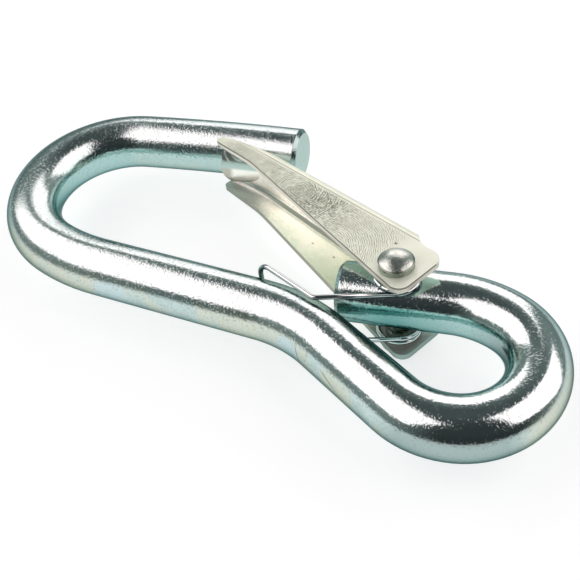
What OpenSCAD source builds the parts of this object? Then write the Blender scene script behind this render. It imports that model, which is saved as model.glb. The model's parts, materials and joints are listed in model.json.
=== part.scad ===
// Round bar snap hook with a spring latch.
// The bar lies in the XY plane, with the long shank along X and the eye's centre at the origin.
// The bowl is at -X, the hook's tip is on the +Y side, and the latch turns about Z.

/* [Bar] */
// Diameter of the round bar
bar_d = 10; // [9:0.25:11]
// Chamfer on the two cut ends of the bar
end_chamfer = 0.7; // [0.3:0.1:1.2]

/* [Hook] */
// Length of the hook's tip, from its cut end to the bowl
tip_len = 32; // [29:0.5:35]
// Radius of the slight bow along the tip
tip_bow_r = 370; // [300:10:500]
// Angle between the tip's cut end and the shank, which widens the mouth
tip_flare = 6.4; // [5:0.2:8]
// Bend radius of the bowl next to the tip, to the middle of the bar
bowl_r = 16; // [15:0.25:18]
// Bend radius at the back of the bowl
bowl_back_r = 17.3; // [16:0.25:19]
// Angle bent at the back radius
bowl_back_a = 76.5; // [70:0.5:84]
// Bend radius where the bowl runs out into the shank
bowl_out_r = 36; // [30:1:42]
// Angle bent where the bowl runs out into the shank
bowl_out_a = 17.5; // [12:0.5:22]
// Straight length of the shank
shank_len = 31.4; // [29:0.2:34]

/* [Eye] */
// Angle of the neck below the shank
neck_a = 27.5; // [25:0.5:30]
// Bend radius between the shank and the neck
neck_r = 26.5; // [22:0.5:30]
// Straight length of the neck
neck_len = 16.8; // [15:0.2:18]
// Bend radius from the neck into the eye
eye_in_r = 13.4; // [12:0.2:15]
// Angle bent from the neck into the eye
eye_in_a = 41.5; // [36:0.5:46]
// Bend radius at the back of the eye
eye_r = 11.6; // [11:0.1:13]
// Bend radius from the eye into the return
eye_out_r = 17.6; // [15:0.2:20]
// Angle bent from the eye into the return
eye_out_a = 32; // [28:0.5:36]
// Slope of the return towards the shank
return_a = 9.3; // [8:0.1:10.4]
// Straight length of the return, to its cut end
return_len = 18.3; // [17:0.1:19.5]

/* [Rivet] */
// Distance from the return's cut end to the rivet
pivot_back = 9.8; // [9:0.1:10.5]
// Distance of the rivet from the middle of the bar, towards the shank
pivot_in = 1; // [0.6:0.1:1.3]
// Diameter of the rivet's shank
rivet_d = 4.5; // [4:0.1:5]
// Diameter of the rivet's made head
head_d = 5.8; // [5.5:0.1:6.4]
// Height of the made head
head_h = 1.7; // [1.4:0.1:2]
// Height of the straight rim under each head's dome
rim_h = 0.85; // [0.6:0.05:1]
// Diameter of the head that was set over the far end
set_head_d = 6.3; // [6:0.1:6.8]
// Height of the set head
set_head_h = 1.3; // [1:0.1:1.6]

/* [Latch] */
// Thickness of the latch's sheet
sheet_t = 1.15; // [0.9:0.05:1.3]
// Distance from the rivet to the outer face of the latch's web
web_off = 8.7; // [8.4:0.05:9]
// Outer radius of the two folds
fold_r = 2.4; // [2:0.1:2.8]
// Angle by which each cheek closes in towards the tip
cheek_taper = 2.6; // [2.2:0.1:2.8]
// Distance from the hook's cut end to the line where the web meets the bar
seat_back = 5.5; // [4.5:0.1:6.5]
// Length of the latch beyond that line
lip_len = 7.9; // [7:0.1:8.6]
// Length by which the cheeks run past the end of the web
cheek_past = 0.9; // [0.5:0.1:1.3]
// Radius of the web's curve towards its tip, seen from above
web_curve_r = 42; // [36:0.5:50]
// Distance from that curve's start to the line where the web meets the bar
web_curve_lead = 5; // [4:0.1:6]
// Distance from the rivet to the end of the ears
ear_len = 4.5; // [4.1:0.1:4.9]
// Corner radius of the ears
ear_r = 2; // [1.5:0.1:2.3]
// Distance from the rivet to the ears' outer edge
ear_out = 6.1; // [5.8:0.05:6.3]
// Distance from the rivet to the ears' inner edge
ear_in = 3.5; // [3.4:0.05:3.8]
// Angle between the cheeks' free edge and the web
edge_a = 10.2; // [9.2:0.2:10.8]
// Length over which the free edge keeps that angle
edge_len = 39.5; // [37:0.5:41]
// Bend radius where the free edge turns level towards the tip
edge_r = 25; // [15:1:35]
// Width of each cheek's end at the tip
cheek_tip_w = 3; // [2.6:0.1:3.4]
// Distance from the rivet to the end of the web, along the latch
web_start = 3.2; // [2.8:0.1:3.7]
// Corner radius at the end of each cheek
tip_r = 0.6; // [0.3:0.1:0.7]
// Radius of the relief between the web and the ears
relief_r = 4.4; // [4:0.1:4.8]

/* [Spring] */
// Diameter of the spring's wire
wire_d = 0.85; // [0.7:0.05:0.95]
// Radius of the coils, to the middle of the wire
coil_r = 3.4; // [3.2:0.05:3.6]
// Angle round the neck's bend at which the arms have their knee
knee_a = 19; // [17:0.5:22]
// Distance of the knee from the middle of the bar, on the inner side
knee_in = 2.4; // [2:0.1:2.8]
// Bend radius of the knee
knee_r = 1.6; // [1.2:0.1:2]
// Distance from the neck's bend back to the bridge
bridge_back = 2.3; // [1.5:0.1:3]
// Bend radius at the two ends of the bridge
bridge_r = 2.8; // [2:0.1:3.4]
// Length of the legs that push on the web
leg_len = 8.5; // [7:0.5:10]

/* [Fits] */
// Clearance round the rivet, in the bar and in the cheeks
rivet_gap = 0.05; // [0.02:0.01:0.08]
// Clearance under each rivet head
head_gap = 0.05; // [0.02:0.01:0.15]
// Clearance between the closed latch and the bar
seat_gap = 0.12; // [0.1:0.01:0.2]
// Clearance between the spring's legs and the web
leg_gap = 0.1; // [0.05:0.01:0.2]
// Clearance round the spring's wire
wire_gap = 0.03; // [0.01:0.01:0.06]

/* [Hidden] */
$fn = 48;

bar_r = bar_d / 2;
wire_sides = 10;
// Length by which joined solids lap, and the step in size that keeps their faces apart
lap = 0.1;
hair = 0.005;
// Size that reaches past the whole hook, for cuts
far = 6 * bar_d;

// The bar's path.
// A piece of it is [length, 0] where it is straight, or [radius, angle] where it bends,
// with the angle positive to the left. A place on it is [x, y, heading].
function beside(p, d) = [p[0] - d * sin(p[2]), p[1] + d * cos(p[2]), p[2]];
function bend_to(p, r, a) =
    let (side = sign(a), mid = beside(p, side * r), h = p[2] + a)
    [mid[0] + side * r * sin(h), mid[1] - side * r * cos(h), h];
function along(p, d) = [p[0] + d * cos(p[2]), p[1] + d * sin(p[2]), p[2]];
function next_place(p, piece) =
    piece[1] == 0 ? along(p, piece[0]) : bend_to(p, piece[0], piece[1]);
function places(p, pieces, i = 0) =
    i == len(pieces) ? [p] : concat([p], places(next_place(p, pieces[i]), pieces, i + 1));
function turned(p) = [p[0], p[1], p[2] + 180];

tip_bow_a = tip_len / tip_bow_r * 180 / PI;
bowl_a = 180 - tip_flare - tip_bow_a - bowl_back_a - bowl_out_a;
eye_a = 180 + neck_a + return_a - eye_in_a - eye_out_a;
eye_start = bend_to([0, -eye_r, 0], eye_r, eye_in_a - neck_a);

// From the eye to the cut end of the return
return_pieces = [[eye_r, eye_a], [eye_out_r, eye_out_a], [return_len, 0]];
return_places = places(eye_start, return_pieces);
return_end = return_places[3];
pivot = beside(along(return_end, -pivot_back), pivot_in);

// From the eye back to the cut end of the hook's tip
hook_pieces = [
    [eye_in_r, -eye_in_a], [neck_len, 0], [neck_r, neck_a], [shank_len, 0],
    [bowl_out_r, -bowl_out_a], [bowl_back_r, -bowl_back_a], [bowl_r, -bowl_a], [tip_bow_r, -tip_bow_a]
];
hook_places = places(turned(eye_start), hook_pieces);
hook_end = turned(hook_places[8]);

// The latch's place: its own X runs from the rivet to the tip, its Y towards the web's outer side
seat_mid = bend_to(hook_end, tip_bow_r, seat_back / tip_bow_r * 180 / PI);
seat = beside(seat_mid, bar_r + seat_gap);
seat_reach = norm([seat[0] - pivot[0], seat[1] - pivot[1]]);
seat_dir = atan2(seat[1] - pivot[1], seat[0] - pivot[0]);
latch_dir = seat_dir + asin(web_off / seat_reach);
seat_x = sqrt(seat_reach * seat_reach - web_off * web_off);
latch_len = seat_x + lip_len;

// The spring is drawn in the part's frame. Each half has a coil on the rivet between the bar and a cheek.
// It runs from the end of a leg, clockwise round the coil, and along an arm to the bridge.
pitch = wire_d + wire_gap;
wire_r = wire_d / 2;
leg_tip = [leg_len, web_off - sheet_t - wire_r - leg_gap];
leg_dir = latch_dir - atan2(leg_tip[1], leg_tip[0]);
coil_start_a = leg_dir - acos(coil_r / norm(leg_tip));
neck_start = turned(hook_places[3]);
knee = beside(bend_to(neck_start, neck_r, -knee_a), knee_in);
knee_dir = atan2(knee[1] - pivot[1], knee[0] - pivot[0]);
knee_reach = norm([knee[0] - pivot[0], knee[1] - pivot[1]]);
coil_end_a = knee_dir + acos(coil_r / knee_reach) - 360;
bridge = beside(along(neck_start, -bridge_back), bar_r + wire_r + wire_gap);
// Height of the first turn, which clears the top of the bar once the turns below it are laid
crest_turns = (coil_start_a + 360 - return_a - asin(pivot_in / coil_r)) / 360;
coil_top = bar_r + wire_r + wire_gap + pitch * crest_turns;
coil_drop = pitch * (coil_start_a - coil_end_a) / 360;
arm_z = coil_top - coil_drop;

// The channel is wide enough for the coils, and closes in towards the tip
channel_in = coil_top + wire_r + wire_gap + tan(cheek_taper) * (coil_r + wire_r);
channel_out = channel_in + sheet_t / cos(cheek_taper);
leg_z = channel_in - tan(cheek_taper) * leg_len - (fold_r - sheet_t);
head_z = channel_out + tan(cheek_taper) * set_head_d / 2 + head_gap;
web_end = latch_len - cheek_past;
curve_x = seat_x - web_curve_lead;
curve_sweep = 45;

function unit(v) = v / norm(v);

// Points of a rounded corner at b, between a and c
function corner(a, b, c, r, steps = 6) =
    let (u = unit(a - b), w = unit(c - b), half = acos(u * w) / 2)
    let (mid = b + unit(u + w) * r / sin(half), out = -unit(u + w), on = unit(w - u))
    [for (i = [0 : steps]) let (s = (90 - half) * (2 * i / steps - 1)) mid + r * (cos(s) * out + sin(s) * on)];

// The free edge of a cheek and the web's outer face, in the latch's frame
function edge_y(x) = tan(edge_a) * x - ear_in / cos(edge_a);
function web_curve_y(x) = web_off - web_curve_r + sqrt(pow(web_curve_r, 2) - pow(x - curve_x, 2));

// Solids along the bar's path
module at_place(p) {
    translate([p[0], p[1], 0]) rotate(p[2]) children();
}

module rod_piece(piece, r, over = 0) {
    if (piece[1] == 0) {
        translate([-over, 0, 0]) rotate([90, 0, 90]) linear_extrude(piece[0] + 2 * over) circle(r);
    } else {
        over_a = over / piece[0] * 180 / PI;
        mirror([0, piece[1] < 0 ? 1 : 0, 0])
            translate([0, piece[0], 0]) rotate(-90 - over_a)
                rotate_extrude(angle = abs(piece[1]) + 2 * over_a) translate([piece[0], 0]) circle(r);
    }
}

// Every second piece is a hair thinner and laps into its neighbours, so that no two end faces coincide.
// The first thin piece has the number given.
module rod(start, pieces, first_thin) {
    stops = places(start, pieces);
    for (i = [0 : len(pieces) - 1]) {
        thin = i % 2 == first_thin;
        at_place(stops[i]) rod_piece(pieces[i], thin ? bar_r - hair : bar_r, thin ? lap : 0);
    }
}

// Ring that chamfers the bar's cut end at a place whose heading points out of the bar
module chamfer_ring(p) {
    inner = bar_r - end_chamfer;
    at_place(p) rotate([0, 90, 0])
        rotate_extrude() polygon([[inner - lap, lap], [bar_r + lap, lap], [bar_r + lap, -end_chamfer - lap]]);
}

module hook_body() {
    color("gainsboro")
        difference() {
            union() {
                rod(eye_start, return_pieces, 1);
                rod(turned(eye_start), hook_pieces, 0);
            }
            chamfer_ring(return_end);
            chamfer_ring(turned(hook_end));
            translate([pivot[0], pivot[1], -far / 2]) cylinder(h = far, d = rivet_d + 2 * rivet_gap);
        }
}

// The latch is drawn with the rivet at the origin, its tip at +X and its web at +Y
module in_latch() {
    translate([pivot[0], pivot[1], 0]) rotate(latch_dir) mirror([0, 1, 0]) children();
}

// Outline of a cheek, seen along the rivet
module cheek_outline() {
    ear_x = ear_r - ear_len;
    low = [ear_x, edge_y(ear_x) + ear_r / cos(edge_a)];
    high = [ear_x, ear_out - ear_r];
    relief_x = web_start - sqrt(pow(relief_r, 2) - pow(ear_out + relief_r - web_off, 2));
    tip_y = web_curve_y(latch_len) - cheek_tip_w;
    edge_from = low + ear_r * [sin(edge_a), -cos(edge_a)];
    edge_to = [latch_len - tip_r, tip_y];
    difference() {
        union() {
            polygon(concat(
                [edge_from],
                corner(edge_from, [edge_len, edge_y(edge_len)], edge_to, edge_r),
                [edge_to, [latch_len, tip_y + tip_r], [latch_len, web_off + lap], [relief_x, web_off + lap]],
                [[relief_x, ear_out], [ear_x, ear_out], high, [-ear_len, high[1]], [-ear_len, low[1]], low]
            ));
            translate(low) circle(ear_r);
            translate(high) circle(ear_r);
            translate([latch_len - tip_r, tip_y + tip_r]) circle(tip_r);
        }
        translate([relief_x, ear_out + relief_r]) circle(relief_r);
    }
}

// Half section of the channel, with the cheek's face at the top and the web's face at the right
module channel_corner(left, web, inset) {
    r = fold_r - inset;
    translate([left, -far]) square([web - fold_r - left, far - inset]);
    translate([left, -far]) square([web - inset - left, far - fold_r]);
    translate([web - fold_r, -fold_r]) circle(r);
}

// Draws in a frame that lies on each cheek's outer face, on its own side of the latch's middle
module on_cheeks() {
    for (side = [0, 1])
        mirror([0, 0, side])
            intersection() {
                translate([0, 0, channel_out]) rotate([0, cheek_taper, 0]) children();
                translate([-far, -far, 0]) cube(3 * far);
            }
}

// Space within the channel, inset by the sheet for its inside
module channel_space(inset) {
    on_cheeks() {
        translate([-far, 0, 0]) rotate([90, 0, 90])
            linear_extrude(far + curve_x + lap) channel_corner(-far, web_off, inset + hair);
        translate([curve_x, web_off - web_curve_r, 0]) rotate(90 - curve_sweep)
            rotate_extrude(angle = curve_sweep) channel_corner(0, web_curve_r, inset);
    }
}

// Space between the two cheeks past the end of the web
module past_web() {
    on_cheeks() translate([web_end, -far, -far - sheet_t]) cube([far, 2 * far, far]);
}

// The hook's tip in the latch's frame
module hook_tip(r) {
    mirror([0, 1, 0]) rotate(-latch_dir) translate([-pivot[0], -pivot[1], 0])
        at_place(hook_end) rod_piece([tip_bow_r, tip_bow_a], r);
}

// The sheet follows the hook's tip in a trough at the end of the web
module trough() {
    difference() {
        intersection() {
            channel_space(0);
            hook_tip(bar_r + seat_gap + sheet_t);
        }
        translate([web_end, -far, -far]) cube(2 * far);
    }
}

module latch() {
    color("lightgoldenrodyellow")
        in_latch()
            difference() {
                union() {
                    intersection() {
                        difference() {
                            channel_space(0);
                            channel_space(sheet_t);
                            past_web();
                        }
                        translate([0, 0, -far / 2]) linear_extrude(far) cheek_outline();
                    }
                    trough();
                }
                hook_tip(bar_r + seat_gap);
                translate([0, 0, -far / 2]) cylinder(h = far, d = rivet_d + 2 * rivet_gap);
            }
}

// A rivet head, standing on its underside
module rivet_head(d, h) {
    rise = h - rim_h;
    dome_r = (pow(d / 2, 2) + pow(rise, 2)) / (2 * rise);
    cylinder(h = rim_h, d = d);
    intersection() {
        translate([0, 0, h - dome_r]) sphere(dome_r);
        translate([0, 0, rim_h]) cylinder(h = rise, d = d);
    }
}

module rivet() {
    color("darkgray")
        translate([pivot[0], pivot[1], 0]) {
            translate([0, 0, -head_z]) cylinder(h = 2 * head_z, d = rivet_d);
            translate([0, 0, head_z]) rivet_head(head_d, head_h);
            mirror([0, 0, 1]) translate([0, 0, head_z]) rivet_head(set_head_d, set_head_h);
        }
}

coil_steps = 34;
leg_place = [pivot[0] + norm(leg_tip) * cos(leg_dir), pivot[1] + norm(leg_tip) * sin(leg_dir), leg_z];
coil_points = [
    for (i = [0 : coil_steps])
        let (t = i / coil_steps, a = coil_start_a + (coil_end_a - coil_start_a) * t)
        [pivot[0] + coil_r * cos(a), pivot[1] + coil_r * sin(a), coil_top - coil_drop * t]
];
knee_point = [knee[0], knee[1], arm_z];
bridge_point = [bridge[0], bridge[1], arm_z];
upper_half = concat(
    [leg_place],
    coil_points,
    corner(coil_points[coil_steps], knee_point, bridge_point, knee_r),
    corner(knee_point, bridge_point, [bridge[0], bridge[1], 0], bridge_r)
);
lower_half = [for (i = [len(upper_half) - 1 : -1 : 0]) [upper_half[i][0], upper_half[i][1], -upper_half[i][2]]];
wire_points = concat(upper_half, lower_half);

// A round wire along a list of points
module wire(points, r) {
    last = len(points) - 1;
    tangents = [for (i = [0 : last]) unit(points[min(i + 1, last)] - points[max(i - 1, 0)])];
    normals = [
        for (i = 0, n = unit(cross(tangents[0], [0, 0, 1])); i <= last;
            i = i + 1, n = unit(n - (n * tangents[min(i, last)]) * tangents[min(i, last)])) n
    ];
    rings = [
        for (i = [0 : last], j = [0 : wire_sides - 1])
            let (a = 360 * j / wire_sides, side = cross(tangents[i], normals[i]))
            points[i] + r * (cos(a) * normals[i] + sin(a) * side)
    ];
    sides = [
        for (i = [0 : last - 1], j = [0 : wire_sides - 1])
            let (k = (j + 1) % wire_sides, a = i * wire_sides, b = a + wire_sides)
            [a + j, b + j, b + k, a + k]
    ];
    ends = [
        [for (j = [0 : wire_sides - 1]) j],
        [for (j = [wire_sides - 1 : -1 : 0]) last * wire_sides + j]
    ];
    polyhedron(rings, concat(sides, ends));
}

module spring() {
    color("silver") wire(wire_points, wire_r);
}

hook_body();
latch();
rivet();
spring();
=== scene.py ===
"""The snap hook's finishes, light and camera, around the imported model. Lengths are in metres."""
import json
import math

import bpy
from mathutils import Matrix, Vector


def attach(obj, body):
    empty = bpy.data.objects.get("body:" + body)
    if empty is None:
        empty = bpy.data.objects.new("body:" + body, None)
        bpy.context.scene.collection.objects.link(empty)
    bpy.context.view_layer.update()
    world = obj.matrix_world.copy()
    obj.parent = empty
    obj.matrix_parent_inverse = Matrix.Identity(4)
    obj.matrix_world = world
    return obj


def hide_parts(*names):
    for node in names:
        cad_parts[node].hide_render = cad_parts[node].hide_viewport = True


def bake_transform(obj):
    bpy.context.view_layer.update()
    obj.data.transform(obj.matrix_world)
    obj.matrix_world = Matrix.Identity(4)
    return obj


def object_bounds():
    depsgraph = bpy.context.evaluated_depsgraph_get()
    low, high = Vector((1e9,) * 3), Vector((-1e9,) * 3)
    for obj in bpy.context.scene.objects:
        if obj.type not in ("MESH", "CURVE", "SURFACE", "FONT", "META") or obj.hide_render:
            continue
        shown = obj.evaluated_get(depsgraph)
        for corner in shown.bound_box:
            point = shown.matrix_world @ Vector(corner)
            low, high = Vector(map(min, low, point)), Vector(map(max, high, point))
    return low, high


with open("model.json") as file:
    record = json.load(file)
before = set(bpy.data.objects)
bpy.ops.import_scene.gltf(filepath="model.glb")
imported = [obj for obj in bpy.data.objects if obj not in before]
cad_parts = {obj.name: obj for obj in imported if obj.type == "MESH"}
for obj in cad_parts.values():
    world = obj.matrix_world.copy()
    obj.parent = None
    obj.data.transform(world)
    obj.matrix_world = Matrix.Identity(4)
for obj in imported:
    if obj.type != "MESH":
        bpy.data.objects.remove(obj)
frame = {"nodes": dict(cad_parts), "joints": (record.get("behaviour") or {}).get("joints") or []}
CAD_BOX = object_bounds()

MM = 0.001
PIVOT = Vector(frame["joints"][0]["pos_m"])

# Camera, fitted to the photograph
CAMERA_PLACE = Vector((28.464, -93.793, 117.396)) * MM
CAMERA_RIGHT = (0.903918, 0.414490, -0.105502)
CAMERA_UP = (-0.230501, 0.679872, 0.696163)
CAMERA_BACK = (0.360280, -0.604956, 0.710089)
NEAREST_SEEN = 10 * MM
SENSOR_WIDTH = 36.0
IMAGE_WIDTH = 580
FOCAL_PIXELS = 1000.13

# Middle of the object, which the lights face
AIM = Vector((-38, 18, 0)) * MM

# A pale floor, which glows a little round the object as the photograph's white ground does
FLOOR_SIZE = 6.0
FLOOR_COLOUR = (0.36, 0.42, 0.42, 1)
FLOOR_ROUGHNESS = 0.9
FLOOR_GLOW = 0.71
FLOOR_GLOW_FAR = 0.2
FLOOR_MIDDLE = Vector((-58, 40, -10)) * MM
FLOOR_FADE = (105 * MM, 300 * MM)

# Soft boxes, placed round the object as the photograph's reflections show them:
# name, azimuth and elevation in degrees, width and height in metres, roll in degrees, brightness
SOFTBOXES = (
    ("left_box", 199.5, 46.5, (2.35, 1.40), 13, 1.46),
    ("right_box", 22, 39, (1.80, 1.42), -34, 1.46),
    ("back_box", 107, 23.5, (1.02, 0.98), -20, 1.4),
)
LIGHT_DISTANCE = 1.5
LIGHT_COLOUR = (1.0, 0.79, 0.80)
# Watts per square metre of box at a brightness of 1
LIGHT_POWER = 4

# The room: its colour, then a direction, the range of facing it, and the colour there
ROOM_COLOUR = (0.23, 0.26, 0.25, 1)
ROOM_SHADES = (
    ((0, 0, 1), 0.6, 0.9, (0.08, 0.09, 0.09, 1)),
    ((0.56, -0.76, 0.32), 0.3, 0.8, (0.042, 0.046, 0.048, 1)),
)

# The cut end at the hook's tip
TIP_END = Vector((-43.6245, 39.492, 0)) * MM
TIP_DIRECTION = Vector((0.9938, 0.1115, 0))
TIP_CHAMFER = (-0.9 * MM, -0.8 * MM)

BOWL_MIDDLE = Vector((-71.5, 18.8, 0)) * MM
EYE_MIDDLE = Vector((-8, -3, 0)) * MM

# The bar's plate: colours of the clean plate, its clouds, its painted shade and its marked places
BAR_RIM = (0.15, 0.22, 0.22, 1)
BAR_COLOUR = (0.58, 0.72, 0.705, 1)
BAR_CLOUD = (0.52, 0.65, 0.63, 1)
BAR_SPECK = (0.25, 0.32, 0.30, 1)
BAR_CREASE_SHADE = (0.16, 0.22, 0.19, 1)
BAR_PIT = (0.12, 0.16, 0.15, 1)
CHAMFER_SHADE = (0.26, 0.38, 0.36, 1)
END_COLOUR = (0.50, 0.70, 0.66, 1)
# Painted shade on the sides that face into the bowl and the eye
INNER_SHADE = (0.42, 0.63, 0.61, 1)
DEEP_TEAL_SHADE = (0.17, 0.39, 0.37, 1)
GREY_TEAL_SHADE = (0.37, 0.46, 0.455, 1)
DARK_TEAL_SHADE = (0.37, 0.48, 0.47, 1)
CREAM = (0.63, 0.69, 0.60, 1)
PALE_BLUE = (0.57, 0.71, 0.72, 1)
# Stains on the bar's lower side, and painted shade on the eye's lower side: place in mm, radius in mm, colour
BAR_STAINS_AND_SHADE = (
    ((-35, -6, 0), 6, CREAM),
    ((-26.5, -7, 0.5), 3.2, PALE_BLUE),
    ((-16.5, -12, 1), 4.5, CREAM),
    # Painted shade on the eye's lower side
    ((4, -17, -1), 13, DARK_TEAL_SHADE),
    ((-80, -1, 0), 8, CREAM),
    ((-60, -5, 0), 4, PALE_BLUE),
    ((16, -3, 0), 9, CREAM),
)
# Painted shade on the eye's inner side: place in mm, radius in mm, share that is soft, colour
EYE_PAINTED_SHADES = (
    ((-19, 4, -2), 17, 0.6, DEEP_TEAL_SHADE),
    ((9, -1, 0), 13, 0.5, GREY_TEAL_SHADE),
)
# Dents left by the bending tool: place in mm, radius in mm
BAR_DENTS = (
    ((-24.6, -7.6, 1.2), 1.3),
    ((-17.2, -11.2, 1.4), 1.6),
    ((-70, 33.3, 1.6), 1.5),
)
# Creases left by the bending tool, drawn as thin lines of painted shade: place in mm, direction across, reach
# in mm
BAR_CREASES = (
    ((-24.5, -7.8, 1.0), (0.871, -0.290, 0.397), 2.4),
    ((-17.7, -11.0, 1.3), (0.457, 0.095, 0.884), 2.6),
)
# Pits in the plate: place in mm, radius in mm
BAR_PITS = (
    ((1.2, 5.1, 1.4), 0.28),
    ((6.2, -17, 1.8), 0.25),
    ((4.8, -17.7, 1.3), 0.2),
    ((-72, -4.3, 3.1), 0.3),
    ((-62.1, -5.1, 2.7), 0.2),
    ((-5.5, 6.5, 1.2), 0.2),
)
GRAIN_SIZE = 0.34 * MM
GRAIN_DEPTH = 0.026 * MM
SPECK_DEPTH = 0.0105 * MM
DENT_DEPTH = 0.12 * MM
BAR_POLISH = (0.07, 0.12)
SPECK_ROUGHNESS = 0.15
END_ROUGHNESS = 0.45
END_METALLIC = 0.3

# The latch's own axes: from the rivet along towards the tip, out towards the web, and up
LATCH_TURN = math.radians(157.056)
LATCH_OUT = (math.sin(LATCH_TURN), -math.cos(LATCH_TURN), 0)
WEB_INSIDE = 7.55 * MM
CHEEK_INSIDE = 7.01 * MM
CHEEK_TAPER = math.tan(math.radians(2.6))

# The sheet's plate: each pair is the clean plate and its patches
SHEET_RIM = (0.3, 0.32, 0.28, 1)
OUTSIDE_COLOURS = ((0.85, 0.99, 0.84, 1), (0.77, 0.90, 0.76, 1))
INSIDE_COLOURS = ((0.97, 0.98, 0.90, 1), (0.90, 0.94, 0.84, 1))
OLIVE_PAINTED_SHADE = (0.55, 0.62, 0.46, 1)
ARC_COLOUR = (0.14, 0.19, 0.11, 1)
RUBBED_COLOUR = (0.08, 0.12, 0.06, 1)
CHEEK_RIM_COLOUR = (0.22, 0.24, 0.18, 1)
# Painted shade in the fold between the web and the lower cheek
FOLD_SHADE = (0.08, 0.12, 0.07, 1)
EDGE_COLOUR = (0.93, 0.90, 0.80, 1)
# Painted shade on the lower cheek's edges and along the upper cheek's corner
LOWER_EDGE_SHADE = (0.25, 0.27, 0.22, 1)
EDGE_CORNER_SHADE = (0.10, 0.11, 0.08, 1)
EAR_SHADE = (0.22, 0.33, 0.31, 1)
TIP_SHADE = (0.24, 0.29, 0.26, 1)
# Painted reflections in the trough: a teal band, then dark with pale rings
TROUGH_REFLECTION = (0.42, 0.56, 0.53, 1)
TROUGH_RING_REFLECTIONS = ((0.06, 0.09, 0.08, 1), (0.55, 0.66, 0.62, 1))
LATCH_PIT = (0.06, 0.06, 0.05, 1)
LATCH_PITS = (
    ((-15.27, 14.30, 7.87), 0.36),
    ((-35.05, 23.31, -5.81), 0.24),
    ((-30.12, 21.40, -6.05), 0.24),
)
# Rubbed arcs on the upper cheek: middle of the rings in mm, and their spacing
TIP_ARCS = ((-36, 22.5, 7), 0.40 * MM)
RIVET_ARCS = ((-29, 8, 7), 0.36 * MM)
ARC_DISTORTION = 11
SHEET_ROUGHNESS = (0.36, 0.5)
SHEET_ROUGHNESS_INSIDE = 0.22
SHEET_METALLIC_OUTSIDE = 0.6
# A faint glow stands for the photograph's light tent, and is stronger on the web's inside
SHEET_GLOW_COLOUR = (1.0, 0.98, 0.89, 1)
SHEET_GLOW = 0.07
WEB_GLOW = 0.2
SCRATCH_DEPTH = 0.05 * MM
PATCH_DEPTH = 0.15 * MM

# The rivet: the clean plate and its blotches, painted shade on its flank and a painted dark reflection round
# its corner
RIVET_COLOURS = ((0.56, 0.66, 0.60, 1), (0.42, 0.51, 0.46, 1))
RIVET_FLANK_SHADE = (0.12, 0.15, 0.11, 1)
RIVET_CORNER_REFLECTION = (0.10, 0.13, 0.09, 1)
RIVET_POLISH = (0.2, 0.32)

# The spring's wire: its two tones and painted shade on its lower side
WIRE_RIM = (0.15, 0.18, 0.18, 1)
WIRE_COLOURS = ((0.70, 0.80, 0.80, 1), (0.58, 0.68, 0.68, 1))
WIRE_UNDERSIDE_SHADE = (0.07, 0.10, 0.10, 1)
WIRE_POLISH = (0.05, 0.1)

# The spring, as it is in the model
WIRE_RADIUS = 0.425 * MM
WIRE_SIDES = 16
COIL_RADIUS = 3.4 * MM
COIL_TOP = 6.38153 * MM
ARM_HEIGHT = 5.22362 * MM
COIL_START = math.radians(45.4413)
COIL_END = math.radians(-428.251)
COIL_PARTS = 3
COIL_STEPS_PER_PART = 32
# Each part of a coil takes a third of the turn.
LEG_TIP = Vector((-18.4752, 19.2558, 5.37424)) * MM
KNEE = Vector((-24.3521, 1.43766, 5.22362)) * MM
BRIDGE = Vector((-36.061, 6.06718, 5.22362)) * MM
KNEE_BEND = 1.6 * MM
BRIDGE_BEND = 2.8 * MM
BEND_STEPS = 16


def add_camera():
    data = bpy.data.cameras.new("camera")
    data.sensor_width = SENSOR_WIDTH
    data.lens = FOCAL_PIXELS / IMAGE_WIDTH * SENSOR_WIDTH
    data.clip_start = NEAREST_SEEN
    camera = bpy.data.objects.new("camera", data)
    turn = Matrix((CAMERA_RIGHT, CAMERA_UP, CAMERA_BACK)).transposed().to_4x4()
    camera.matrix_world = Matrix.Translation(CAMERA_PLACE) @ turn
    bpy.context.scene.collection.objects.link(camera)
    bpy.context.scene.camera = camera


def put(tree, value, socket):
    """Link a value that comes from a node, or set a plain one."""
    if isinstance(value, bpy.types.NodeSocket):
        tree.links.new(value, socket)
    else:
        socket.default_value = value


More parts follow.
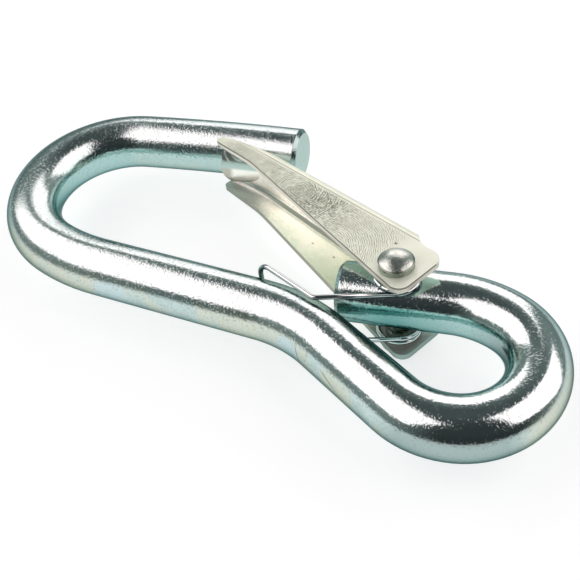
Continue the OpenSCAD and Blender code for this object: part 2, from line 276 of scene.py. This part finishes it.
class Material:
    """A node material, with short calls to add and join its nodes."""

    def __init__(self, name):
        self.material = bpy.data.materials.new(name)
        self.material.use_nodes = True
        self.tree = self.material.node_tree
        self.shader = self.tree.nodes["Principled BSDF"]
        coordinates = self.add("ShaderNodeTexCoord")
        self.place = coordinates.outputs["Object"]
        self.normal = coordinates.outputs["Normal"]

    def add(self, kind, inputs=None, **settings):
        node = self.tree.nodes.new(kind)
        for name, value in settings.items():
            setattr(node, name, value)
        for name, value in (inputs or {}).items():
            put(self.tree, value, node.inputs[name])
        return node

    def set(self, name, value):
        put(self.tree, value, self.shader.inputs[name])

    def noise(self, size, detail=3.0, rough=0.5, distortion=0.0):
        """Noise with features of about that size in metres."""
        place = self.add("ShaderNodeMapping", {"Vector": self.place, "Scale": [1 / size] * 3}).outputs[0]
        inputs = {
            "Vector": place, "Scale": 1.0, "Detail": detail, "Roughness": rough, "Distortion": distortion
        }
        return self.add("ShaderNodeTexNoise", inputs).outputs["Fac"]

    def ramp(self, value, low, high, start=0.0, end=1.0):
        """Value taken from the range low to high over to the range start to end, and held there."""
        inputs = {"Value": value, "From Min": low, "From Max": high, "To Min": start, "To Max": end}
        return self.add("ShaderNodeMapRange", inputs, clamp=True).outputs[0]

    def mix(self, factor, first, second):
        node = self.add("ShaderNodeMix", data_type="RGBA")
        put(self.tree, factor, node.inputs[0])
        put(self.tree, first, node.inputs[6])
        put(self.tree, second, node.inputs[7])
        return node.outputs[2]

    def math(self, operation, first, second=0.0):
        return self.add("ShaderNodeMath", {0: first, 1: second}, operation=operation).outputs[0]

    def plus(self, first, second):
        return self.math("ADD", first, second)

    def minus(self, first, second):
        return self.math("SUBTRACT", first, second)

    def times(self, first, second):
        return self.math("MULTIPLY", first, second)

    def size(self, value):
        return self.math("ABSOLUTE", value)

    def vector(self, operation, first, second=(0, 0, 0), output="Vector"):
        return self.add("ShaderNodeVectorMath", {0: first, 1: second}, operation=operation).outputs[output]

    def axis(self, vector, name):
        return self.add("ShaderNodeSeparateXYZ", {"Vector": vector}).outputs[name]

    def facing(self, direction):
        """How much the surface faces the direction, from -1 to 1."""
        return self.vector("DOT_PRODUCT", self.normal, direction, output="Value")

    def across(self, point, direction):
        """How far a place lies from the point along the direction."""
        shift = self.vector("SUBTRACT", self.place, point)
        return self.vector("DOT_PRODUCT", shift, direction, output="Value")

    def near(self, place, radius, soft):
        """1 near a place in mm, fading to 0 at the radius in mm over the soft share of it."""
        away = self.vector("DISTANCE", self.place, Vector(place) * MM, output="Value")
        return self.ramp(away, radius * MM, radius * MM * (1 - soft))

    def rings(self, place, spacing, distortion):
        """Uneven rings round a place in mm, the spacing apart."""
        inputs = {
            "Vector": self.vector("SUBTRACT", self.place, Vector(place) * MM),
            "Scale": math.pi / 10 / spacing, "Distortion": distortion,
            "Detail": 3.0, "Detail Scale": 0.6, "Detail Roughness": 0.6
        }
        settings = {"wave_type": "RINGS", "rings_direction": "SPHERICAL"}
        return self.add("ShaderNodeTexWave", inputs, **settings).outputs["Fac"]

    def bump(self, height, depth, under=None):
        inputs = {"Height": height, "Distance": depth, "Strength": 1.0}
        if under is not None:
            inputs["Normal"] = under
        return self.add("ShaderNodeBump", inputs).outputs["Normal"]


def inner_side(zinc):
    """1 on the sides of the bar that face into the bowl or the eye."""
    in_eye = zinc.ramp(zinc.axis(zinc.place, "X"), -34 * MM, -33 * MM)
    middle = zinc.mix(in_eye, (*BOWL_MIDDLE, 1), (*EYE_MIDDLE, 1))
    inward = zinc.vector("NORMALIZE", zinc.vector("SUBTRACT", middle, zinc.place))
    low = zinc.ramp(zinc.axis(zinc.place, "Z"), 3.2 * MM, 2.0 * MM)
    return zinc.times(zinc.ramp(zinc.facing(inward), 0.15, 0.5), low)


def past_tip(zinc, low, high):
    """0 to 1 as a place passes from low to high along the bar at the hook's tip."""
    at_tip = zinc.ramp(zinc.axis(zinc.place, "Y"), 30 * MM, 31 * MM)
    return zinc.times(zinc.ramp(zinc.across(TIP_END, TIP_DIRECTION), low, high), at_tip)


def bar_colour(zinc, low, end, specks):
    """The bar's plate, with its clouds, stains and pits, and painted shade on its inner sides, on the eye's
    lower side, on the tip's chamfer and along the bending creases.
    """
    cloudy = zinc.ramp(zinc.noise(1.6 * MM, detail=5, rough=0.65), 0.35, 0.6)
    base = zinc.mix(zinc.times(cloudy, low), BAR_COLOUR, BAR_CLOUD)
    creamy = zinc.ramp(zinc.noise(6 * MM, detail=4), 0.45, 0.62)
    base = zinc.mix(zinc.times(creamy, low), base, CREAM)
    # Stains, and painted shade on the eye's lower side
    for place, radius, colour in BAR_STAINS_AND_SHADE:
        stain_and_shade = zinc.times(zinc.near(place, radius, soft=0.35), low)
        base = zinc.mix(stain_and_shade, base, colour)
    # Painted shade: the sides facing into the bowl and the eye are darker teal, darker still in parts of the
    # eye
    inner = inner_side(zinc)
    base = zinc.mix(inner, base, INNER_SHADE)
    for place, radius, soft, colour in EYE_PAINTED_SHADES:
        base = zinc.mix(zinc.times(inner, zinc.near(place, radius, soft)), base, colour)
    # Painted shade on the chamfer at the hook's tip
    base = zinc.mix(zinc.times(past_tip(zinc, *TIP_CHAMFER), 0.8), base, CHAMFER_SHADE)
    base = zinc.mix(end, base, END_COLOUR)
    base = zinc.mix(zinc.times(specks, zinc.times(low, 0.35)), base, BAR_SPECK)
    # Painted shade along the creases left by the bending tool
    for place, direction, reach in BAR_CREASES:
        away = zinc.size(zinc.across(Vector(place) * MM, direction))
        crease_shade = zinc.times(zinc.ramp(away, 0.16 * MM, 0.06 * MM), zinc.near(place, reach, soft=0.5))
        base = zinc.mix(zinc.times(crease_shade, 0.8), base, BAR_CREASE_SHADE)
    for place, radius in BAR_PITS:
        base = zinc.mix(zinc.near(place, radius, soft=0.6), base, BAR_PIT)
    return base


def bar_relief(zinc, specks):
    """The bar's dents, specks and grain, which are calmer round the eye."""
    calm = zinc.ramp(zinc.axis(zinc.place, "X"), -28 * MM, -8 * MM, 1, 0.6)
    dents = 0.0
    for place, radius in BAR_DENTS:
        dents = zinc.minus(dents, zinc.near(place, radius, soft=0.9))
    normal = zinc.bump(dents, DENT_DEPTH)
    normal = zinc.bump(zinc.times(specks, calm), SPECK_DEPTH, normal)
    grain = zinc.times(zinc.noise(GRAIN_SIZE, detail=2, rough=0.6), calm)
    return zinc.bump(grain, GRAIN_DEPTH, normal)


def bar_finish():
    zinc = Material("zinc_bar")
    low = zinc.ramp(zinc.axis(zinc.place, "Z"), 3.4 * MM, 1.8 * MM)
    end = past_tip(zinc, -0.1 * MM, 0)
    specks = zinc.ramp(zinc.noise(GRAIN_SIZE, detail=2), 0.57, 0.72)
    polish = zinc.ramp(zinc.noise(2.5 * MM, detail=5, rough=0.65), 0.3, 0.7, *BAR_POLISH)
    dull = zinc.plus(polish, zinc.times(specks, SPECK_ROUGHNESS))
    zinc.set("Specular Tint", BAR_RIM)
    zinc.set("Base Color", bar_colour(zinc, low, end, specks))
    zinc.set("Roughness", zinc.plus(dull, zinc.times(end, END_ROUGHNESS)))
    zinc.set("Metallic", zinc.ramp(end, 0, 1, 1, END_METALLIC))
    zinc.set("Normal", bar_relief(zinc, specks))
    return zinc.material


class SheetMaterial(Material):
    """The latch's material, which knows the latch's own axes and its main masks."""

    def __init__(self, name):
        super().__init__(name)
        inputs = {
            "Vector": self.place, "Location": PIVOT, "Rotation": (0, 0, LATCH_TURN), "Scale": (1, -1, 1)
        }
        place = self.add("ShaderNodeMapping", inputs, vector_type="TEXTURE").outputs[0]
        self.along = self.axis(place, "X")
        self.out = self.axis(place, "Y")
        self.up = self.axis(place, "Z")
        self.patches = self.noise(5 * MM, detail=4)
        self.on_upper_cheek = self.ramp(self.up, 5 * MM, 5.5 * MM)
        self.on_lower_cheek = self.ramp(self.up, -3 * MM, -4 * MM)
        self.faces_in = self.ramp(self.facing(LATCH_OUT), 0, -0.3)
        # Height of the cheeks' inner faces, which taper towards the tip
        self.cheek = self.minus(CHEEK_INSIDE, self.times(self.along, CHEEK_TAPER))


def sheet_colour(zinc):
    """Patchy plate, greenish outside and paler inside, with painted olive shade towards the rivet."""
    patchy = zinc.ramp(zinc.patches, 0.35, 0.65)
    outside = zinc.mix(patchy, *OUTSIDE_COLOURS)
    inside = zinc.mix(patchy, *INSIDE_COLOURS)
    base = zinc.mix(zinc.ramp(zinc.up, 4 * MM, 5 * MM), inside, outside)
    # Painted shade, darker towards the rivet below the upper cheek's top
    shaded = zinc.times(zinc.ramp(zinc.along, 26 * MM, 8 * MM, 0, 0.9), zinc.ramp(zinc.up, 4 * MM, 3 * MM))
    return zinc.mix(shaded, base, OLIVE_PAINTED_SHADE)


def worn_cheek(zinc):
    """How far the upper cheek is worn."""
    worn = zinc.ramp(zinc.noise(1.3 * MM, detail=6, rough=0.8), 0.33, 0.52)
    worn = zinc.times(worn, zinc.on_upper_cheek)
    worn = zinc.times(worn, zinc.ramp(zinc.along, 2 * MM, 5 * MM))
    worn = zinc.times(worn, zinc.ramp(zinc.out, 6.4 * MM, 5.9 * MM))
    return zinc.times(worn, zinc.ramp(zinc.along, 48 * MM, 44 * MM, 0.4, 1))


def rubbed_arcs(zinc, worn):
    """Fine arcs where the upper cheek is worn."""
    tip_arcs = zinc.rings(*TIP_ARCS, ARC_DISTORTION)
    rivet_arcs = zinc.rings(*RIVET_ARCS, ARC_DISTORTION)
    arcs = zinc.mix(zinc.near((-20, 14, 7), 13, soft=0.8), tip_arcs, rivet_arcs)
    return zinc.times(zinc.ramp(arcs, 0.5, 0.75), worn)


def upper_cheek_marks(zinc, base, worn, arcs):
    """Dark arcs and rubbed spots on the upper cheek, and a line along its fold."""
    strong = zinc.ramp(zinc.along, 12 * MM, 22 * MM, 0.6, 1)
    base = zinc.mix(zinc.times(arcs, strong), base, ARC_COLOUR)
    spots = zinc.ramp(zinc.noise(0.38 * MM, detail=4, rough=0.7), 0.48, 0.57)
    rubbed = zinc.times(zinc.near((-31, 20, 7), 10, soft=0.8), spots)
    base = zinc.mix(zinc.times(zinc.times(rubbed, worn), 0.85), base, RUBBED_COLOUR)
    rim = zinc.ramp(zinc.size(zinc.minus(zinc.out, 6.5 * MM)), 0.16 * MM, 0.06 * MM)
    rim = zinc.times(rim, zinc.on_upper_cheek)
    return zinc.mix(zinc.times(rim, 0.7), base, CHEEK_RIM_COLOUR)


def fold_shade(zinc, base):
    """Painted shade in the fold between the web and the lower cheek."""
    from_web = zinc.size(zinc.minus(zinc.out, WEB_INSIDE - 0.55 * MM))
    from_cheek = zinc.size(zinc.plus(zinc.up, zinc.minus(zinc.cheek, 0.55 * MM)))
    return zinc.mix(zinc.ramp(zinc.plus(from_web, from_cheek), 0.75 * MM, 0.4 * MM), base, FOLD_SHADE)


def sheared_edges_and_shade(zinc, base):
    """Dull sheared edges, with painted shade on the lower cheek's edges and along the upper one's outer
    corner.
    """
    edge = zinc.ramp(zinc.size(zinc.axis(zinc.normal, "Z")), 0.6, 0.4)
    edge = zinc.times(edge, zinc.ramp(zinc.out, 4.5 * MM, 4 * MM))
    corner = zinc.times(edge, zinc.ramp(zinc.minus(zinc.up, zinc.cheek), 0.70 * MM, 0.85 * MM))
    base = zinc.mix(edge, base, EDGE_COLOUR)
    base = zinc.mix(zinc.times(edge, zinc.ramp(zinc.up, 3 * MM, 2 * MM, 0, 0.7)), base, LOWER_EDGE_SHADE)
    return zinc.mix(zinc.times(corner, 0.9), base, EDGE_CORNER_SHADE)


def lower_cheek_shades(zinc, base):
    """Shade on the lower ear and on the lower cheek's tip."""
    ear = zinc.times(zinc.ramp(zinc.along, 6 * MM, 3.5 * MM), zinc.on_lower_cheek)
    base = zinc.mix(ear, base, EAR_SHADE)
    tip = zinc.times(zinc.ramp(zinc.along, 36 * MM, 42 * MM), zinc.on_lower_cheek)
    return zinc.mix(zinc.times(tip, 0.8), base, TIP_SHADE)


def trough_reflections(zinc, base):
    """The trough that seats on the hook's tip, with a painted teal reflection and, towards the upper cheek, a
    painted dark reflection with pale rings.
    """
    trough = zinc.times(zinc.ramp(zinc.along, 40 * MM, 41.5 * MM), zinc.faces_in)
    trough = zinc.times(trough, zinc.ramp(zinc.size(zinc.up), 5.2 * MM, 4.8 * MM))
    base = zinc.mix(zinc.times(trough, zinc.ramp(zinc.up, -0.2 * MM, 0.4 * MM)), base, TROUGH_REFLECTION)
    pale = zinc.ramp(zinc.rings((-53.6, 34.6, 3.0), 1.0 * MM, distortion=0.6), 0.65, 0.9)
    ring_reflection = zinc.mix(pale, *TROUGH_RING_REFLECTIONS)
    return zinc.mix(zinc.times(trough, zinc.ramp(zinc.up, 1.4 * MM, 2.0 * MM)), base, ring_reflection)


def sheet_finish():
    zinc = SheetMaterial("zinc_sheet")
    worn = worn_cheek(zinc)
    arcs = rubbed_arcs(zinc, worn)
    base = sheet_colour(zinc)
    base = upper_cheek_marks(zinc, base, worn, arcs)
    base = fold_shade(zinc, base)
    base = sheared_edges_and_shade(zinc, base)
    base = lower_cheek_shades(zinc, base)
    base = trough_reflections(zinc, base)
    for place, radius in LATCH_PITS:
        base = zinc.mix(zinc.near(place, radius, soft=0.6), base, LATCH_PIT)
    scratches = zinc.noise(0.4 * MM, detail=4, rough=0.7, distortion=2.0)
    rough = zinc.ramp(scratches, 0.3, 0.7, *SHEET_ROUGHNESS)
    inside = zinc.ramp(zinc.up, 5.5 * MM, 5 * MM)
    roughness = zinc.add("ShaderNodeMix", {0: inside, 2: rough, 3: SHEET_ROUGHNESS_INSIDE}, data_type="FLOAT")
    web = zinc.ramp(zinc.out, WEB_INSIDE - 0.8 * MM, WEB_INSIDE - 0.2 * MM)
    web = zinc.times(web, zinc.ramp(zinc.along, 40 * MM, 36 * MM))
    web_inside = zinc.times(zinc.times(web, inside), zinc.faces_in)
    height = zinc.plus(scratches, zinc.times(arcs, 0.8))
    zinc.set("Specular Tint", SHEET_RIM)
    zinc.set("Base Color", base)
    zinc.set("Metallic", zinc.ramp(inside, 0, 1, SHEET_METALLIC_OUTSIDE, 1))
    zinc.set("Roughness", roughness.outputs[0])
    zinc.set("Emission Color", SHEET_GLOW_COLOUR)
    zinc.set("Emission Strength", zinc.ramp(web_inside, 0, 1, SHEET_GLOW, WEB_GLOW))
    zinc.set("Normal", zinc.bump(height, SCRATCH_DEPTH, zinc.bump(zinc.patches, PATCH_DEPTH)))
    return zinc.material


def rivet_finish():
    zinc = Material("zinc_rivet")
    blotches = zinc.noise(1.0 * MM, detail=5, rough=0.65)
    base = zinc.mix(zinc.ramp(blotches, 0.4, 0.62), *RIVET_COLOURS)
    # Painted shade on the flank and a painted dark reflection round the head's corner
    flank = zinc.ramp(zinc.axis(zinc.normal, "Z"), 0.55, 0.3, 0, 0.6)
    base = zinc.mix(flank, base, RIVET_FLANK_SHADE)
    from_axis = zinc.vector("MULTIPLY", zinc.vector("SUBTRACT", zinc.place, PIVOT), (1, 1, 0))
    radius = zinc.vector("LENGTH", from_axis, output="Value")
    corner = zinc.times(zinc.ramp(radius, 2.62 * MM, 2.75 * MM), zinc.ramp(radius, 2.9 * MM, 2.86 * MM))
    zinc.set("Metallic", 1.0)
    zinc.set("Base Color", zinc.mix(zinc.times(corner, 0.85), base, RIVET_CORNER_REFLECTION))
    zinc.set("Roughness", zinc.ramp(blotches, 0.35, 0.65, *RIVET_POLISH))
    zinc.set("Normal", zinc.bump(zinc.noise(0.4 * MM, detail=3), 0.03 * MM))
    return zinc.material


def wire_finish():
    steel = Material("spring_wire")
    base = steel.mix(steel.noise(1.5 * MM), *WIRE_COLOURS)
    # Painted shade on the wire's lower side
    below = steel.ramp(steel.axis(steel.normal, "Z"), 0.35, -0.1, 0, 0.85)
    steel.set("Metallic", 1.0)
    steel.set("Specular Tint", WIRE_RIM)
    steel.set("Base Color", steel.mix(below, base, WIRE_UNDERSIDE_SHADE))
    steel.set("Roughness", steel.ramp(steel.noise(0.6 * MM), 0.3, 0.7, *WIRE_POLISH))
    steel.set("Normal", steel.bump(steel.noise(0.3 * MM), 0.003 * MM))
    return steel.material


def finish_nodes():
    finishes = {"hook_body": bar_finish(), "latch": sheet_finish(), "rivet": rivet_finish()}
    for name, material in finishes.items():
        mesh = frame["nodes"][name].data
        mesh.materials.clear()
        mesh.materials.append(material)


def bend(before, corner, after, radius):
    """Points round a bend of that radius at a corner."""
    first = (before - corner).normalized()
    second = (after - corner).normalized()
    half = math.acos(first.dot(second)) / 2
    outward = -(first + second).normalized()
    across = (second - first).normalized()
    middle = corner - outward * radius / math.sin(half)
    reach = math.pi / 2 - half
    angles = [reach * (2 * i / BEND_STEPS - 1) for i in range(BEND_STEPS + 1)]
    return [middle + radius * (math.cos(angle) * outward + math.sin(angle) * across) for angle in angles]


def tube(name, points, material):
    """A closed round wire along the points."""
    last = len(points) - 1
    vertices = []
    faces = []
    normal = (points[1] - points[0]).orthogonal()
    for i, point in enumerate(points):
        along = (points[min(i + 1, last)] - points[max(i - 1, 0)]).normalized()
        normal = (normal - normal.dot(along) * along).normalized()
        side = along.cross(normal)
        for j in range(WIRE_SIDES):
            angle = 2 * math.pi * j / WIRE_SIDES
            vertices.append(point + WIRE_RADIUS * (math.cos(angle) * normal + math.sin(angle) * side))
    for row in range(0, last * WIRE_SIDES, WIRE_SIDES):
        for j in range(WIRE_SIDES):
            k = (j + 1) % WIRE_SIDES
            faces.append((row + j, row + k, row + WIRE_SIDES + k, row + WIRE_SIDES + j))
    faces.append(tuple(reversed(range(WIRE_SIDES))))
    faces.append(tuple(range(last * WIRE_SIDES, len(vertices))))
    mesh = bpy.data.meshes.new(name)
    mesh.from_pydata(vertices, [], faces)
    mesh.materials.append(material)
    for face in mesh.polygons:
        face.use_smooth = len(face.vertices) == 4
    piece = bpy.data.objects.new(name, mesh)
    bpy.context.scene.collection.objects.link(piece)
    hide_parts("spring")
    return piece


def coil_point(turned):
    """A place on the upper coil, from 0 at its leg to 1 at its arm."""
    angle = COIL_START + (COIL_END - COIL_START) * turned
    height = COIL_TOP + (ARM_HEIGHT - COIL_TOP) * turned
    return Vector((PIVOT.x + COIL_RADIUS * math.cos(angle), PIVOT.y + COIL_RADIUS * math.sin(angle), height))


def add_coil(name, mirror, material):
    """A coil in parts."""
    for part in range(COIL_PARTS):
        steps = range(COIL_STEPS_PER_PART + 1)
        points = [mirror @ coil_point((part + i / COIL_STEPS_PER_PART) / COIL_PARTS) for i in steps]
        piece = tube(f"{name}_{part + 1}", points, material)
        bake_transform(piece)


def add_spring():
    material = wire_finish()
    flip = Matrix.Diagonal((1, 1, -1))
    arm_end = coil_point(1)
    bridge_middle = Vector((BRIDGE.x, BRIDGE.y, 0))
    arm = [arm_end] + bend(arm_end, KNEE, BRIDGE, KNEE_BEND) + bend(KNEE, BRIDGE, bridge_middle, BRIDGE_BEND)
    arms = tube("spring_arms", arm + [flip @ point for point in reversed(arm)], material)
    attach(arms, "hook")
    for side, mirror in (("upper", Matrix.Identity(3)), ("lower", flip)):
        add_coil(f"spring_coil_{side}", mirror, material)
        leg = tube(f"spring_leg_{side}", [mirror @ LEG_TIP, mirror @ coil_point(0)], material)
        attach(leg, "gate")


def floor_paint():
    paint = Material("floor_paint")
    paint.set("Base Color", FLOOR_COLOUR)
    paint.set("Roughness", FLOOR_ROUGHNESS)
    paint.set("Specular IOR Level", 0.0)
    paint.set("Emission Color", (1, 1, 1, 1))
    away = paint.vector("DISTANCE", paint.place, FLOOR_MIDDLE, output="Value")
    paint.set("Emission Strength", paint.ramp(away, *FLOOR_FADE, FLOOR_GLOW, FLOOR_GLOW_FAR))
    return paint.material


def add_floor():
    height = CAD_BOX[0][2]
    half = FLOOR_SIZE / 2
    corners = [(AIM.x + x * half, AIM.y + y * half, height) for x, y in ((-1, -1), (1, -1), (1, 1), (-1, 1))]
    mesh = bpy.data.meshes.new("floor")
    mesh.from_pydata(corners, [], [(0, 1, 2, 3)])
    mesh.materials.append(floor_paint())
    floor = bpy.data.objects.new("floor", mesh)
    bpy.context.scene.collection.objects.link(floor)


def add_softbox(name, azimuth, elevation, size, roll, brightness):
    """A soft box that faces the object from that direction."""
    around = math.radians(azimuth)
    up = math.radians(elevation)
    away = Vector((math.cos(up) * math.cos(around), math.cos(up) * math.sin(around), math.sin(up)))
    side = Vector((-away.y, away.x, 0)).normalized()
    turn = Matrix((side, away.cross(side), away)).transposed() @ Matrix.Rotation(math.radians(roll), 3, "Z")
    data = bpy.data.lights.new(name, "AREA")
    data.shape = "RECTANGLE"
    data.size, data.size_y = size
    data.energy = LIGHT_POWER * size[0] * size[1] * brightness
    data.color = LIGHT_COLOUR
    light = bpy.data.objects.new(name, data)
    light.matrix_world = Matrix.Translation(AIM + away * LIGHT_DISTANCE) @ turn.to_4x4()
    light.visible_camera = False
    bpy.context.scene.collection.objects.link(light)


def add_room():
    """A grey room with a dark ceiling, and darkest behind the camera."""
    world = bpy.data.worlds.new("studio")
    bpy.context.scene.world = world
    world.use_nodes = True
    tree = world.node_tree
    direction = tree.nodes.new("ShaderNodeTexCoord").outputs["Generated"]
    colour = ROOM_COLOUR
    for axis, low, high, shade in ROOM_SHADES:
        facing = tree.nodes.new("ShaderNodeVectorMath")
        facing.operation = "DOT_PRODUCT"
        facing.inputs[1].default_value = axis
        tree.links.new(direction, facing.inputs[0])
        share = tree.nodes.new("ShaderNodeMapRange")
        share.inputs["From Min"].default_value = low
        share.inputs["From Max"].default_value = high
        tree.links.new(facing.outputs["Value"], share.inputs["Value"])
        mixed = tree.nodes.new("ShaderNodeMix")
        mixed.data_type = "RGBA"
        tree.links.new(share.outputs[0], mixed.inputs[0])
        put(tree, colour, mixed.inputs[6])
        mixed.inputs[7].default_value = shade
        colour = mixed.outputs[2]
    tree.links.new(colour, tree.nodes["Background"].inputs["Color"])


bpy.context.scene.view_settings.view_transform = "Standard"
add_camera()
finish_nodes()
add_spring()
add_floor()
add_room()
for softbox in SOFTBOXES:
    add_softbox(*softbox)
